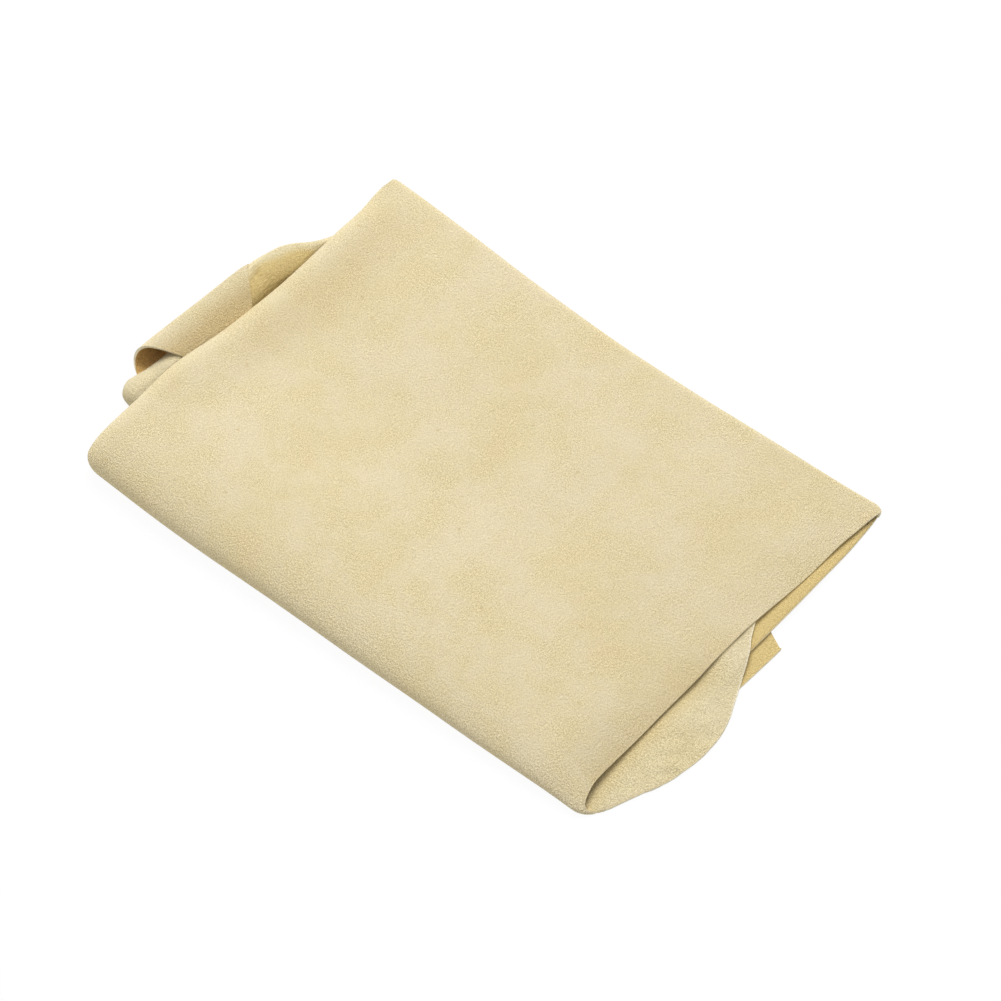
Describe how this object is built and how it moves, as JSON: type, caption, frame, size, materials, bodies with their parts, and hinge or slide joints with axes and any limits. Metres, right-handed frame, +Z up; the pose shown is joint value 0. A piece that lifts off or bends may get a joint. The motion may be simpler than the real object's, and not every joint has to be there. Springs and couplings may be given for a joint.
{
  "type": "chamois leather",
  "caption": "Natural chamois leather drying and polishing skin, folded under at front and back into a flat packet, with a rolled margin, a rolled leg and a turned corner at its open sides.",
  "frame": {"origin": "middle of the packet's bounding box, on the table it lies on", "axes": "+X along the two main folds towards the loose flap, +Y from the front fold to the back fold, +Z up out of the table"},
  "size_m": [0.346, 0.2216, 0.019],
  "materials": {
    "grain_side": "matt fine nap",
    "flesh_side": "matt rough nap",
    "yellow_layer": "matt rough nap"
  },
  "bodies": {
    "back": {"back_leaf": "yellow_layer", "back_bend": "grain_side", "turned_corner": "yellow_layer", "corner_bend": "yellow_layer"},
    "top": {"top_leaf": "grain_side", "front_bend": "grain_side"},
    "front": {"front_leaf": "flesh_side", "rolled_margin": "flesh_side", "leg_bend": "grain_side"},
    "leg": {"leg_end": "grain_side"}
  },
  "joints": [
    {"name": "back_fold", "type": "hinge", "parent": "back", "child": "top", "pos_m": [0.004, 0.10813, 0.004], "axis": [-1, 0, 0], "range_deg": [0, 175], "deforming": ["back_bend"]},
    {"name": "front_fold", "type": "hinge", "parent": "top", "child": "front", "pos_m": [0.004, -0.10533, 0.00723], "axis": [-0.9999, -0.0079, 0.0147], "range_deg": [0, 180], "deforming": ["front_bend"]},
    {"name": "leg_roll", "type": "hinge", "parent": "front", "child": "leg", "pos_m": [-0.16734, -0.01183, 0.0059], "axis": [-0.0466, -0.9989, 0.0101], "range_deg": [0, 180], "deforming": ["leg_bend"]}
  ]
}
